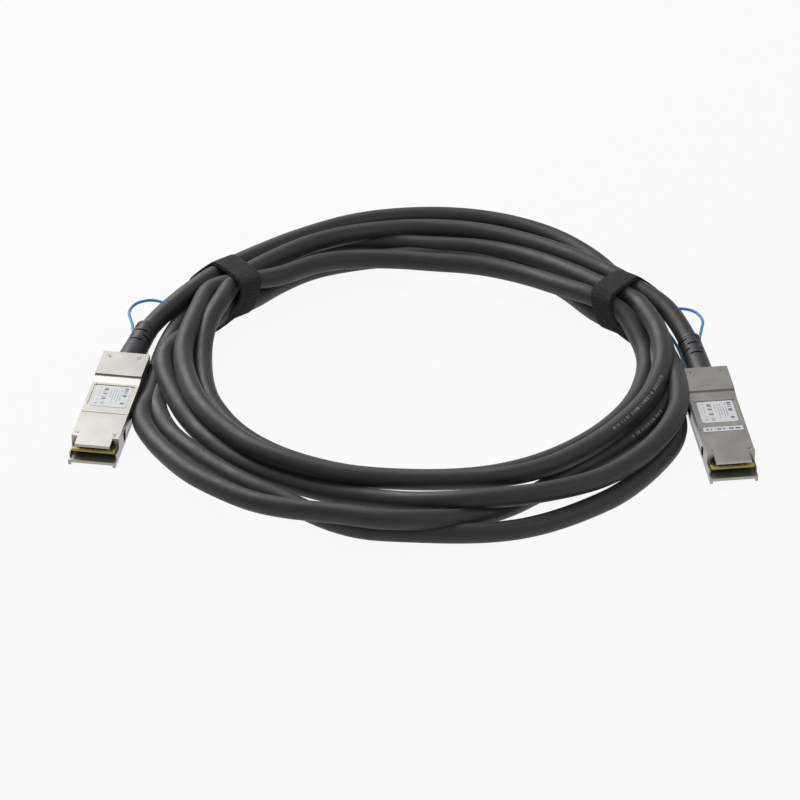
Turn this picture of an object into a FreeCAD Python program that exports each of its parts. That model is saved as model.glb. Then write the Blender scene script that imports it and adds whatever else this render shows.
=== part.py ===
"""Direct attach copper cable: a long round twinax cable lying in a flat coil, tied
with two hook-and-loop straps, with a quad small form-factor plug on each end.

Frame: +X right, +Y away from the viewer, +Z up, millimetres. The plugs and the coil
rest on the plane z = 0, label side up, noses towards -Y.

Each plug is built once, in its own frame: origin under the middle of the cover's nose
on the resting plane, +Y back along the plug towards its cable, +X to its right.
"""
import FreeCAD
import Part
import math
import os

os.makedirs("parts", exist_ok=True)
Vec = FreeCAD.Vector
UP = Vec(0, 0, 1)
BACK = Vec(0, 1, 0)
RIGHT = Vec(1, 0, 0)
QUARTER_TURN = 90.0
HALF_TURN = 180.0

# ---- cable, and the ferrule that sets the height of the head -------------------------
cable_diameter = 7.8
ferrule_wall = 0.3
ferrule_lip = 0.15
head_clearance = 0.05     # between the ferrule's lip and the head's walls
plate = 1.1               # cover plate, floors and head walls

cable_radius = cable_diameter / 2
ferrule_radius = cable_radius + ferrule_wall
head_height = 2 * (ferrule_radius + ferrule_lip + head_clearance + plate)
cable_axis = head_height / 2

# ---- plug envelope -----------------------------------------------------------------
plug_width = 18.35        # width of the pluggable body
body_height = 8.5         # height of the pluggable body
body_lift = 1.2           # the head hangs this much below the body
nose_to_head = 48.0       # cover nose to the front of the head
head_length = 16.3        # head front to head back
notch_width = 2.4         # corner notch of the cover, across
notch_length = 5.8        # corner notch of the cover, along
tongue_reach = 1.6        # the tongue passes the cover's nose
tongue_thickness = 1.2
tongue_top = 3.4          # top face of the tongue above the plane
skid_width = 1.1          # runner along each edge of the tongue
shell_wall = 1.6          # side walls of the body
split_height = 5.7        # the two shells meet here
fit_gap = 0.15            # clearance between pieces that slide

body_top = body_lift + body_height
half_width = plug_width / 2
head_back = nose_to_head + head_length

# ---- step from head to body, label pocket and grooves of the cover ------------------
ledge_drop = 0.6          # first drop at the head's front edge
ledge_length = 1.0
slope_length = 3.4        # ramp from the ledge down to the body
pocket_inset = 1.175      # side of the plug to the label pocket
pocket_length = 15.5      # label pocket along
pocket_depth = 0.25
pocket_from_head = 5.6    # head front to the pocket
label_side_margin = 1.0   # bare pocket floor beside the label
label_end_margin = 0.45
label_thickness = 0.15
label_corner = 1.0
strip_inset = 1.475       # side of the plug to the strip label
strip_length = 2.9
strip_gap = 3.6           # label's front edge to the strip label
press_line_width = 0.5    # shallow pressed line across the cover
press_line_depth = 0.12
press_line_from_pocket = 4.6

pocket_side = plug_width - 2 * pocket_inset
label_side = pocket_side - 2 * label_side_margin
label_length = pocket_length - 2 * label_end_margin
strip_side = plug_width - 2 * strip_inset

# ---- paddle card and contacts ------------------------------------------------------
card_inset = 0.965        # side of the plug to the card
waist_step = 0.76         # the card narrows this much on each side behind the nose
card_thickness = 1.0
card_top = 6.4
card_front = 1.2
card_length = 35.0
card_shoulder = 7.3       # where the wide front ends
card_chamfer = 0.3
card_clearance = 0.06
contact_count = 19        # on each face
contact_pitch = 0.8
contact_width = 0.6
contact_length = 3.4
contact_stagger = 0.45    # first-mating contacts reach further forward
contact_thickness = 0.08
chip_side = 4.0
chip_length = 3.2
chip_height = 0.9
chip_place = 21.0         # along the plug
capacitor_count = 8
capacitor_side = 0.5
capacitor_length = 1.0
capacitor_place = 13.0
rail_thickness = 1.2      # ribs of the lower shell that carry the card
rail_places = (11.0, 31.0)

card_width = plug_width - 2 * card_inset
card_waist = card_width - 2 * waist_step

# ---- rivets and their posts --------------------------------------------------------
rivet_radius = 0.7
rivet_head_radius = 1.15
rivet_head_height = 0.45
rivet_sink = 0.12         # the heads lie this much below the cover
rivet_recess_radius = 0.5
rivet_recess_depth = 0.25
rivet_grip = 3.0          # length of the shank below its head
front_post_radius = 0.98
rear_post_radius = 1.1
front_rivet_inset = 2.0   # from the side of the plug
front_rivet_back = 1.9    # behind the notch
rear_rivet_inset = 3.2
rear_rivet_front = 3.7    # in front of the head's back

# ---- cable, strain relief and ferrule ----------------------------------------------
relief_root_radius = 4.9
relief_tip_radius = 4.45
relief_lip_radius = 4.6
relief_lip_length = 1.4
relief_length = 24.0      # outside the head, along the plug
relief_neck = 1.7         # straight length behind the head, before the sleeve leans
flange_radius = 5.2
flange_length = 1.8
relief_slot_width = 0.85
relief_slot_depth = 0.75
relief_slot_pitch = 3.1
relief_slot_count = 4
relief_slot_first = 3.4   # from the tip to the first slot
relief_top_slot_turn = 130.0
relief_side_slot_turn = 64.0
ferrule_length = 6.6
cable_stub = 6.8          # cable inside the head, before the flange

relief_bend = head_back + relief_neck

# ---- wires from the card to the cable ----------------------------------------------
pair_count = 4            # on each face of the card
pair_width = 1.9
pair_height = 1.0
pair_pitch = 3.3
pair_squeeze = 0.36       # the pairs draw together towards the cable
pair_end_width = 1.1      # width of a pair where it enters the cable
pair_rise = 1.35          # half the height between the two rows in the cable
pair_start = 33.2
pair_card_gap = 0.02

# ---- latch slider, its springs and the pull loop -----------------------------------
channel_depth = 0.6       # groove in the sides of the body for the arms
arm_thickness = 0.4
arm_height = 4.0
arm_bottom = 2.8
arm_front = 16.0
arm_inset = 1.775         # side of the plug to the middle of the arm inside the head
arm_jog_start = 40.8
arm_jog_length = 4.4
arm_back = 60.0
ear_reach = 0.45          # the arms' front ends bend out this much
ear_length = 2.2
bridge_front = 49.3
bridge_length = 2.4
bridge_bottom = 1.38
bridge_thickness = 0.4
tail_inner = 3.4          # the two tails run below the cable
tail_outer = 4.8
tail_back = 66.0
spring_tab_y = 52.8
spring_tab_length = 2.1
spring_inset = 1.2        # arm to the axis of its spring
spring_axis = 3.9
spring_radius = 0.72      # to the middle of its wire
spring_wire = 0.17        # radius of the wire
spring_turns = 4.5
spring_seat_y = 57.4
spring_seat_depth = 1.6
grip_length = 3.4
grip_inner = 3.3
grip_outer = 5.1
grip_bottom = 0.35
grip_top = 1.82
loop_wire = 0.6           # radius of the pull loop's wire
loop_height = 0.72        # height of its axis
loop_leg = 3.9            # half the distance between the legs
loop_bulge = 8.6          # half the width of the loop's bend points
loop_tip = 6.6            # half the width of its far bend points
loop_tip_length = 3.2
loop_lean = 1.0           # the loop lies a little away from the coil
loop_neck_y = 96.0
loop_wide_y = 110.5
loop_end_y = 121.0
right_loop_reach = 4.0    # the right loop is pulled out this much straighter

arm_inner_x = half_width - arm_inset
spring_x = arm_inner_x - spring_inset
spring_tab_reach = arm_inner_x - spring_tab_length

# ---- layout on the table -----------------------------------------------------------
left_nose = Vec(-121.3, -60.4, 0)
left_yaw = 8.93           # its nose points this much to the left
right_nose = Vec(121.26, -71.3, 0)
right_yaw = -7.05

# ---- straps round the bundle of three turns side by side, two high -------------------
cables_across = 3
cables_high = 2
bundle_width = cables_across * cable_diameter + fit_gap
bundle_height = cables_high * cable_diameter + fit_gap
strap_width = 10.0
strap_thickness = 1.4
strap_corner = 6.4
strap_tilt = 22.0         # the bands lean: their tops lie further from the viewer
upper_end_length = 9.5    # free ends of the strap, drawn out along the bundle
lower_end_length = 17.0
tail_foot = 7.5           # how much of the band's side a free end takes at its root
tail_tip = 1.4
left_strap_place = Vec(-73.0, 54.0, 0)
left_strap_heading = 38.0
right_strap_place = Vec(84.0, 42.7, 0)
right_strap_heading = -38.0

# ---- coil: hand-placed points on the outside and inside of the lying turns ----------
coil_height = bundle_height + strap_thickness
coil_round = 3.0          # rounding of the coil's edges
coil_outer = (
    (-76.2, 63.6), (-66.0, 73.5), (-45.0, 88.6), (-20.0, 103.6), (8.8, 110.0),
    (33.5, 106.8), (57.5, 94.4), (75.8, 76.4), (87.0, 62.0), (93.6, 50.2), (96.2, 40.0),
    (98.5, 28.0), (101.2, 12.0), (102.4, -2.0), (103.2, -14.0), (104.6, -25.0),
    (105.0, -38.0), (102.0, -54.5), (92.0, -73.9), (73.4, -95.0), (48.0, -107.6),
    (7.5, -113.6), (-31.4, -108.2), (-59.0, -98.2), (-90.0, -73.0), (-102.6, -50.0),
    (-105.0, -36.0), (-103.6, -20.0), (-101.6, -5.0), (-99.4, 6.0), (-96.0, 20.0),
    (-89.6, 40.0),
)
coil_inner = (
    (-58.8, 46.2), (-46.0, 59.5), (-28.0, 71.0), (8.4, 76.5), (40.0, 72.6),
    (60.0, 54.6), (76.6, 32.4), (84.6, 17.0), (87.6, -2.0), (83.6, -22.0), (70.0, -46.0),
    (50.0, -63.0), (22.0, -76.0), (-10.0, -81.0), (-40.0, -76.0), (-63.0, -59.0),
    (-77.0, -31.0), (-80.0, -6.0), (-75.0, 20.0),
)

# ---- uncoiled runs of cable, from inside each plug to the strap ---------------------
run_kept = 0.1            # share of the shorter run that stays straight beside a bend
left_run = (Vec(-104.6, 26.8, 7.1), Vec(-92.6, 42.8, 10.9), Vec(-72.4, 62.4, 13.1))
right_run = (Vec(108.8, 18.3, 8.2), Vec(101.2, 36.8, 11.6), Vec(83.7, 53.0, 13.1))


def save(shape, name):
    """Write one node's solids as a STEP file and print its volume."""
    shape.exportStep("parts/" + name + ".step")
    print(name, "solids", len(shape.Solids), "volume", round(shape.Volume, 1))


def block(x0, x1, y0, y1, z0, z1):
    """A box between two opposite corners."""
    return Part.makeBox(x1 - x0, y1 - y0, z1 - z0, Vec(x0, y0, z0))


def mirrored(shape):
    """The shape's mirror image across the plug's middle plane."""
    return shape.mirror(Vec(0, 0, 0), RIGHT)


def both_sides(shape):
    """The shape with its mirror image, as a list."""
    return [shape, mirrored(shape)]


def upright(radius, height, x, y, z):
    """A vertical cylinder."""
    return Part.makeCylinder(radius, height, Vec(x, y, z), UP)


def lengthwise(radius, y0, y1, x=0.0, z=cable_axis):
    """A cylinder along the plug between two distances from its nose."""
    return Part.makeCylinder(radius, y1 - y0, Vec(x, y0, z), BACK)


def side_profile(points, half):
    """A solid from a side outline of (y, z) points, as wide as the plug part."""
    corners = [Vec(-half, y, z) for y, z in points]
    face = Part.Face(Part.makePolygon(corners + corners[:1]))
    return face.extrude(Vec(2 * half, 0, 0))


def plan_solid(points, z0, z1):
    """A solid from a plan outline of (x, y) points between two heights."""
    corners = [Vec(x, y, z0) for x, y in points]
    face = Part.Face(Part.makePolygon(corners + corners[:1]))
    return face.extrude(Vec(0, 0, z1 - z0))


def runs_along(edge, axis):
    """True for an edge that lies nearer to the axis than to any line across it."""
    direction = edge.tangentAt(edge.FirstParameter)
    return abs(direction.dot(axis)) > direction.cross(axis).Length


def rounded_plate(width, length, thickness, corner, centre):
    """A thin plate with rounded corners, lying on the height of its centre point."""
    box = Part.makeBox(width, length, thickness, centre - Vec(width / 2, length / 2, 0))
    uprights = [e for e in box.Edges if runs_along(e, UP)]
    return box.makeFillet(corner, uprights)


def rounded_run(points):
    """Straight runs joined by tangent arcs, each arc as large as its shorter run allows."""
    edges = []
    start = points[0]
    for before, corner, after in zip(points, points[1:], points[2:]):
        into = (corner - before).normalize()
        away = (after - corner).normalize()
        half_turn = into.getAngle(away) / 2
        shorter = min((corner - before).Length, (after - corner).Length)
        setback = (1 - run_kept) / 2 * shorter
        radius = setback / math.tan(half_turn)
        print("bend radius", round(radius, 1))
        first = corner - into * setback
        last = corner + away * setback
        inward = (away - into).normalize()
        middle = corner + inward * (radius / math.cos(half_turn) - radius)
        edges.append(Part.makeLine(start, first))
        edges.append(Part.Arc(first, middle, last).toShape())
        start = last
    edges.append(Part.makeLine(start, points[-1]))
    return Part.Wire(edges)


def rivet_places():
    """Plan points of the four rivets: front pair, then rear pair."""
    front_x = half_width - front_rivet_inset
    rear_x = half_width - rear_rivet_inset
    front_y = notch_length + front_rivet_back
    rear_y = head_back - rear_rivet_front
    return [(-front_x, front_y), (front_x, front_y), (-rear_x, rear_y), (rear_x, rear_y)]


def rivet_top(place):
    """Height of the cover's outer face at a rivet."""
    return head_height if place[1] > nose_to_head else body_top


def arm_channels():
    """Grooves along both sides that take the latch arms, with a window to the inside."""
    top = arm_bottom + arm_height + fit_gap
    low = arm_bottom - fit_gap
    groove = block(half_width - channel_depth, half_width + plate, arm_front - ear_length,
                   nose_to_head, low, top)
    window_x = arm_inner_x - arm_thickness / 2 - fit_gap
    window = block(window_x, half_width + plate, arm_jog_start - fit_gap, nose_to_head, low, top)
    inner = block(window_x, half_width - plate, nose_to_head - plate, nose_to_head + plate, low, top)
    return both_sides(groove) + both_sides(window) + both_sides(inner)


def card_seat():
    """Room for the wide front of the card between the two shells."""
    half = card_width / 2 + card_clearance
    low = card_top - card_thickness - card_clearance
    high = card_top + card_clearance
    return block(-half, half, card_front, card_shoulder + card_clearance, low, high)


def make_top_cover():
    """Upper shell: nose plate with corner notches, label pocket, ramp and raised head."""
    outline = [(0, split_height), (0, body_top),
               (nose_to_head - slope_length - ledge_length, body_top),
               (nose_to_head - ledge_length, head_height - ledge_drop),
               (nose_to_head, head_height - ledge_drop), (nose_to_head, head_height),
               (head_back, head_height), (head_back, split_height)]
    cover = side_profile(outline, half_width)
    body_hollow = block(-half_width + shell_wall, half_width - shell_wall, -plate,
                        nose_to_head - slope_length, split_height - plate, body_top - plate)
    head_half = half_width - plate
    head_hollow = block(-head_half, head_half, nose_to_head + plate / 2, head_back - plate,
                        split_height - plate, head_height - plate)
    pass_half = half_width - shell_wall
    passage = block(-pass_half, pass_half, nose_to_head - slope_length - plate,
                    nose_to_head + plate, split_height - plate, body_top - plate)
    notch = block(half_width - notch_width, half_width + plate, -plate, notch_length,
                  split_height - plate, body_top + plate)
    nose_room = block(-half_width - plate, half_width + plate, -plate, notch_length,
                      split_height - plate, body_top - plate)
    middle = nose_to_head - pocket_from_head - pocket_length / 2
    pocket = rounded_plate(pocket_side, pocket_length, plate, label_corner,
                           Vec(0, middle, body_top - pocket_depth))
    line_y = middle - pocket_length / 2 - press_line_from_pocket
    press_line = block(-half_width, half_width, line_y, line_y + press_line_width,
                       body_top - press_line_depth, body_top + plate)
    neck = lengthwise(relief_root_radius, head_back - 2 * plate, head_back + plate)
    cuts = [body_hollow, head_hollow, passage, nose_room, pocket, press_line, neck, card_seat()]
    cover = cover.cut(cuts + both_sides(notch) + arm_channels())
    for place in rivet_places():
        top = rivet_top(place)
        radius = front_post_radius if place[1] < nose_to_head else rear_post_radius
        boss_foot = max(split_height, card_top + card_clearance)
        if place[1] > nose_to_head:
            boss_foot = split_height
        cover = cover.fuse(upright(radius, top - plate / 2 - boss_foot, place[0], place[1], boss_foot))
        hole = upright(rivet_radius, top, place[0], place[1], 0)
        sink = upright(rivet_head_radius, head_height, place[0], place[1],
                       top - rivet_sink - rivet_head_height)
        cover = cover.cut([hole, sink])
    return cover.removeSplitter()


def make_bottom_shell():
    """Lower shell: tongue with two runners, floor, side walls, head floor and posts."""
    floor = block(-half_width, half_width, notch_length, nose_to_head, body_lift, body_lift + plate)
    tongue = block(-half_width, half_width, -tongue_reach, notch_length,
                   tongue_top - tongue_thickness, tongue_top)
    runner = block(half_width - skid_width, half_width, -tongue_reach, notch_length,
                   body_lift, tongue_top)
    heel = block(-half_width, half_width, notch_length, notch_length + plate, body_lift, tongue_top)
    wall = block(half_width - shell_wall, half_width, notch_length, nose_to_head,
                 body_lift, split_height)
    cheek = block(half_width - plate / 2, half_width, plate, notch_length, body_lift,
                  card_top - card_thickness)
    head = block(-half_width, half_width, nose_to_head, head_back, 0, split_height)
    head_half = half_width - plate
    head_hollow = block(-head_half, head_half, nose_to_head - plate, head_back - plate,
                        plate, split_height + plate)
    body_end = block(-half_width + shell_wall, half_width - shell_wall, nose_to_head - plate,
                     nose_to_head + plate, body_lift + plate, split_height + plate)
    shell = head.cut([head_hollow, body_end])
    shell = shell.fuse([floor, tongue, heel] + both_sides(runner) + both_sides(wall)
                       + both_sides(cheek))
    rail_half = half_width - shell_wall / 2
    for place in rail_places:
        rail = block(-rail_half, rail_half, place, place + rail_thickness,
                     body_lift, card_top - card_thickness)
        shell = shell.fuse(rail)
    for place in rivet_places()[2:]:
        shell = shell.fuse(upright(rear_post_radius, split_height, place[0], place[1], 0))
    for place in rivet_places()[:2]:
        height = card_top - card_thickness - card_clearance - body_lift
        shell = shell.fuse(upright(front_post_radius, height, place[0], place[1], body_lift))
    seat_inner = spring_x - spring_radius - spring_wire
    seat_outer = arm_inner_x - arm_thickness / 2 - fit_gap
    seat = block(seat_inner, seat_outer, spring_seat_y, spring_seat_y + spring_seat_depth,
                 plate / 2, spring_axis + spring_radius + spring_wire)
    shell = shell.fuse(both_sides(seat))
    neck = lengthwise(relief_root_radius, head_back - 2 * plate, head_back + plate)
    slot = block(tail_inner - fit_gap, tail_outer + fit_gap, head_back - 2 * plate,
                 head_back + plate, bridge_bottom - fit_gap, bridge_bottom + bridge_thickness + fit_gap)
    cuts = [neck, card_seat()] + both_sides(slot) + arm_channels()
    for place in rivet_places():
        cuts.append(upright(rivet_radius, rivet_reach(place), place[0], place[1],
                            rivet_foot(place)))
    return shell.cut(cuts).removeSplitter()


def rivet_foot(place):
    """Height of the lower end of a rivet."""
    grip = rivet_grip if place[1] < nose_to_head else 2 * rivet_grip
    return rivet_top(place) - rivet_sink - rivet_head_height - grip


def rivet_reach(place):
    """Length of a rivet from its lower end to the cover's outer face."""
    return rivet_top(place) - rivet_foot(place)


def make_rivets():
    """Four flush rivets with a small round recess, that hold the cover down."""
    rivets = []
    for place in rivet_places():
        head_foot = rivet_top(place) - rivet_sink - rivet_head_height
        shank = upright(rivet_radius, head_foot - rivet_foot(place), place[0], place[1],
                        rivet_foot(place))
        head = upright(rivet_head_radius, rivet_head_height, place[0], place[1], head_foot)
        recess = upright(rivet_recess_radius, plate, place[0], place[1],
                         head_foot + rivet_head_height - rivet_recess_depth)
        rivets.append(shank.fuse(head).cut(recess).removeSplitter())
    return Part.makeCompound(rivets)


def make_card():
    """Paddle card: wide chamfered front edge, narrower waist, two notches for the posts."""
    half = card_width / 2
    waist = card_waist / 2
    back = card_front + card_length
    points = [(-half, card_front + card_chamfer), (-half + card_chamfer, card_front),
              (half - card_chamfer, card_front), (half, card_front + card_chamfer),
              (half, card_shoulder), (waist, card_shoulder), (waist, back),
              (-waist, back), (-waist, card_shoulder), (-half, card_shoulder)]
    card = plan_solid(points, card_top - card_thickness, card_top)
    ends = [e for e in card.Edges
            if abs(e.BoundBox.YMax - card_front) < card_clearance
            and e.BoundBox.XLength > card_waist]
    card = card.makeChamfer(card_chamfer, ends)
    for place in rivet_places()[:2]:
        card = card.cut(upright(front_post_radius + card_clearance, body_top, place[0], place[1], 0))
    return card


def make_contacts():
    """Flat gold contacts on both faces of the card, every third one longer."""
    pads = []
    first = -(contact_count - 1) / 2 * contact_pitch
    for face_z in (card_top, card_top - card_thickness - contact_thickness):
        for number in range(contact_count):
            x = first + number * contact_pitch
            lead = 0 if number % 3 == 0 else contact_stagger
            y0 = card_front + 2 * card_chamfer + lead
            pads.append(block(x - contact_width / 2, x + contact_width / 2, y0,
                              card_front + 2 * card_chamfer + contact_length, face_z,
                              face_z + contact_thickness))
    return Part.makeCompound(pads)


def make_components():
    """Memory chip and a row of coupling capacitors on the card."""
    chip = block(-chip_side / 2, chip_side / 2, chip_place, chip_place + chip_length,
                 card_top, card_top + chip_height)
    parts = [chip]
    pitch = card_waist / (capacitor_count + 1)
    for number in range(capacitor_count):
        x = (number - (capacitor_count - 1) / 2) * pitch
        parts.append(block(x - capacitor_side / 2, x + capacitor_side / 2, capacitor_place,
                           capacitor_place + capacitor_length, card_top, card_top + capacitor_side))
    return Part.makeCompound(parts)


def make_wire_pairs():
    """Flat twinax pairs that fan from both faces of the card into the cable's end."""
    pairs = []
    card_back = card_front + card_length
    cable_end = head_back - plate - flange_length - cable_stub
    for row, foot in ((1, card_top + pair_card_gap),
                      (-1, card_top - card_thickness - pair_card_gap - pair_height)):
        for number in range(pair_count):
            x = (number - (pair_count - 1) / 2) * pair_pitch
            far_z = cable_axis + row * pair_rise - pair_height / 2
            sections = []
            for y, cx, z in ((pair_start, x, foot), (card_back, x, foot),
                             (cable_end, x * pair_squeeze, far_z)):
                width = pair_width if y < cable_end else pair_end_width
                corners = [Vec(cx - width / 2, y, z), Vec(cx + width / 2, y, z),
                           Vec(cx + width / 2, y, z + pair_height),
                           Vec(cx - width / 2, y, z + pair_height)]
                sections.append(Part.makePolygon(corners + corners[:1]))
            flat = Part.makeLoft(sections[:2], True, True)
            fan = Part.makeLoft(sections[1:], True, True)
            pairs.append(flat.fuse(fan).removeSplitter())
    return Part.makeCompound(pairs)


def make_ferrule(cable):
    """Crimped metal ring that grips the cable's braid inside the head."""
    back = head_back - plate - flange_length
    front = back - ferrule_length
    ring = lengthwise(ferrule_radius, front, back)
    lip = lengthwise(ferrule_radius + ferrule_lip, front, front + ferrule_lip * 2)
    return ring.fuse(lip).cut(cable).removeSplitter()


def arc_slot(y, centre_turn, turn):
    """A cutter for one slot of the sleeve: part of a ring round the cable's axis."""
    outer = relief_root_radius + plate
    taper = (relief_root_radius - relief_tip_radius) / relief_length
    inner = relief_tip_radius - relief_slot_depth + (head_back + relief_length - y) * taper
    ring = Part.makeCylinder(outer, relief_slot_width, Vec(0, y, cable_axis), BACK, turn)
    ring = ring.cut(lengthwise(inner, y - plate, y + plate))
    ring.rotate(Vec(0, y, cable_axis), BACK, centre_turn - turn / 2)
    return ring


def make_strain_relief(tip_side, tip_rise, cable):
    """Tapered rubber sleeve, flanged in the head, slotted to bend, leaning to its tip."""
    tip = head_back + relief_length
    cone = Part.makeCone(relief_root_radius, relief_tip_radius, tip - relief_bend,
                         Vec(0, relief_bend, cable_axis), BACK)
    lip = lengthwise(relief_lip_radius, tip - relief_lip_length, tip)
    sleeve = cone.fuse(lip)
    slots = []
    for number in range(relief_slot_count):
        y = tip - relief_slot_first - number * relief_slot_pitch
        if number % 2 == 0:
            slots.append(arc_slot(y, -QUARTER_TURN, relief_top_slot_turn))
            slots.append(arc_slot(y, QUARTER_TURN, relief_top_slot_turn))
        else:
            slots.append(arc_slot(y, 0, relief_side_slot_turn))
            slots.append(arc_slot(y, HALF_TURN, relief_side_slot_turn))
    sleeve = sleeve.cut(slots)
    pivot = Vec(0, relief_bend, cable_axis)
    aim = Vec(tip_side, tip - relief_bend, tip_rise)
    sleeve.rotate(pivot, BACK.cross(aim), math.degrees(BACK.getAngle(aim)))
    knuckle = Part.makeSphere(relief_root_radius, pivot)
    neck = lengthwise(relief_root_radius, head_back - plate, relief_bend)
    flange = lengthwise(flange_radius, head_back - plate - flange_length, head_back - plate)
    flat_z = bridge_bottom + bridge_thickness + fit_gap
    roof_z = head_height - plate - fit_gap
    flange = flange.cut([block(-plug_width, plug_width, 0, tip, -plate, flat_z),
                         block(-plug_width, plug_width, 0, tip, roof_z, head_height)])
    return sleeve.fuse([knuckle, neck, flange]).cut(cable).removeSplitter()


def make_slider():
    """U-shaped sheet-metal latch slider: two side arms, a bridge and two tails."""
    t = arm_thickness
    outer_mid = half_width - channel_depth / 2
    jog_end = arm_jog_start + arm_jog_length
    ear_tip = half_width + ear_reach
    arm_points = [(ear_tip - t, arm_front), (ear_tip, arm_front),
                  (outer_mid + t / 2, arm_front + ear_length), (outer_mid + t / 2, arm_jog_start),
                  (arm_inner_x + t / 2, jog_end), (arm_inner_x + t / 2, arm_back),
                  (arm_inner_x - t / 2, arm_back), (arm_inner_x - t / 2, jog_end),
                  (outer_mid - t / 2, arm_jog_start), (outer_mid - t / 2, arm_front + ear_length)]
    arm = plan_solid(arm_points, arm_bottom, arm_bottom + arm_height)
    riser = block(arm_inner_x - t / 2, arm_inner_x + t / 2, bridge_front,
                  bridge_front + bridge_length, bridge_bottom, arm_bottom + t)
    tab = block(spring_tab_reach, arm_inner_x, spring_tab_y, spring_tab_y + t,
                spring_axis - spring_radius - spring_wire, spring_axis + spring_radius + spring_wire)
    tail = block(tail_inner, tail_outer, bridge_front, tail_back, bridge_bottom,
                 bridge_bottom + bridge_thickness)
    bridge = block(-arm_inner_x - t / 2, arm_inner_x + t / 2, bridge_front,
                   bridge_front + bridge_length, bridge_bottom, bridge_bottom + bridge_thickness)
    pieces = both_sides(riser) + both_sides(tab) + both_sides(tail) + [bridge, mirrored(arm)]
    return arm.fuse(pieces).removeSplitter()


def make_springs():
    """Two short compression springs that push the slider forward."""
    front = spring_tab_y + arm_thickness + spring_wire
    length = spring_seat_y - spring_wire - front
    helix = Part.makeHelix(length / spring_turns, length, spring_radius)
    ring = Part.Wire(Part.makeCircle(spring_wire, Vec(spring_radius, 0, 0), BACK))
    coil = Part.Wire(helix).makePipeShell([ring], True, True)
    coil.rotate(Vec(0, 0, 0), RIGHT, -QUARTER_TURN)
    coil.translate(Vec(spring_x, front, spring_axis))
    return Part.makeCompound(both_sides(coil))


def make_pull_loop(lean, reach):
    """Pull loop: a round wire in a drop shape with a moulded grip on each slider tail."""
    start = tail_back - grip_length / 2
    end = start + grip_length
    grips = [block(grip_inner, grip_outer, start, end, grip_bottom, grip_top),
             block(-grip_outer, -grip_inner, start, end, grip_bottom, grip_top)]
    end_y = loop_end_y + reach
    far_y = end_y - loop_tip_length
    wide_y = loop_wide_y + reach
    corners = [(loop_leg, end - plate), (loop_leg, loop_neck_y), (loop_bulge + lean, wide_y),
               (loop_tip + lean, far_y), (lean, end_y), (-loop_tip + lean, far_y),
               (-loop_bulge + lean, wide_y), (-loop_leg, loop_neck_y), (-loop_leg, end - plate)]
    path = rounded_run([Vec(x, y, loop_height) for x, y in corners])
    section = Part.Wire(Part.makeCircle(loop_wire, Vec(loop_leg, end - plate, loop_height), BACK))
    wire = path.makePipeShell([section], True, False)
    loop = wire.fuse(grips).removeSplitter()
    tail = block(tail_inner, tail_outer, start - plate, tail_back, bridge_bottom,
                 bridge_bottom + bridge_thickness)
    return loop.cut(both_sides(tail))


def placed(shape, nose, yaw):
    """A plug piece moved from the plug's own frame to its place on the table."""
    moved = shape.copy()
    moved.rotate(Vec(0, 0, 0), UP, -yaw)
    moved.translate(nose)
    return moved


def cable_along(points):
    """A round length of cable along hand-placed points."""
    path = rounded_run(points)
    heading = (points[1] - points[0]).normalize()
    section = Part.Wire(Part.makeCircle(cable_radius, points[0], heading))
    tube = path.makePipeShell([section], True, False)
    print("cable run", round(path.Length, 1), "volume ratio",
          round(tube.Volume / (math.pi * cable_radius ** 2 * path.Length), 3))
    return tube


def uncoiled_run(nose, yaw, points):
    """The cable from inside a plug's head to its strap, in the plug's own frame."""
    start_y = head_back - plate - flange_length - cable_stub
    start = Vec(0, start_y, cable_axis)
    root = Vec(0, relief_bend, cable_axis)
    own = []
    for point in points:
        moved = Part.Vertex(point - nose)
        moved.rotate(Vec(0, 0, 0), UP, yaw)
        own.append(moved.Point)
    return cable_along([start, root] + own), own[0] - root


def rounded_bar(width, height, length, corner):
    """A bar with rounded long edges along +X, centred on Y, standing on z = 0."""
    bar = Part.makeBox(length, width, height, Vec(-length / 2, -width / 2, 0))
    long_edges = [e for e in bar.Edges if runs_along(e, RIGHT)]
    return bar.makeFillet(corner, long_edges)


def make_strap(place, heading, tilt, front):
    """A closed band round the bundle with two free ends drawn out towards the plug."""
    wide = bundle_width + 2 * strap_thickness
    length = 2 * (wide + lower_end_length)
    high = bundle_height + 2 * strap_thickness
    outer = rounded_bar(wide, high, length, strap_corner + strap_thickness)
    inner = rounded_bar(bundle_width, bundle_height, 2 * length, strap_corner)
    inner.translate(Vec(0, 0, strap_thickness))
    tube = outer.cut(inner)
    cutter = Part.makeBox(strap_width, length, length, Vec(-strap_width / 2, -length / 2,
                                                           (high - length) / 2))
    cutter.rotate(Vec(0, 0, high / 2), BACK, tilt)
    edge = front * strap_width / 2
    upper_tip = edge + front * upper_end_length
    lower_tip = edge + front * lower_end_length
    shift = math.tan(math.radians(tilt)) * high / 2
    upper = Part.makePolygon([Vec(0, wide, high), Vec(0, wide / 2 - tail_foot, high),
                              Vec(edge + shift, wide / 2 - tail_foot, high),
                              Vec(upper_tip + shift, wide / 2 - tail_tip, high),
                              Vec(upper_tip + shift, wide, high), Vec(0, wide, high)])
    upper = Part.Face(upper).extrude(Vec(0, 0, -tail_foot))
    lower = Part.makePolygon([Vec(0, -wide, 0), Vec(lower_tip - shift, -wide, 0),
                              Vec(lower_tip - shift, -wide, tail_tip), Vec(edge - shift, -wide, tail_foot),
                              Vec(0, -wide, tail_foot), Vec(0, -wide, 0)])
    lower = Part.Face(lower).extrude(Vec(0, wide / 2 + tail_tip, 0))
    band = tube.common(cutter.fuse([upper, lower])).removeSplitter()
    band.rotate(Vec(0, 0, 0), UP, heading)
    band.translate(place)
    return band


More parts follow.
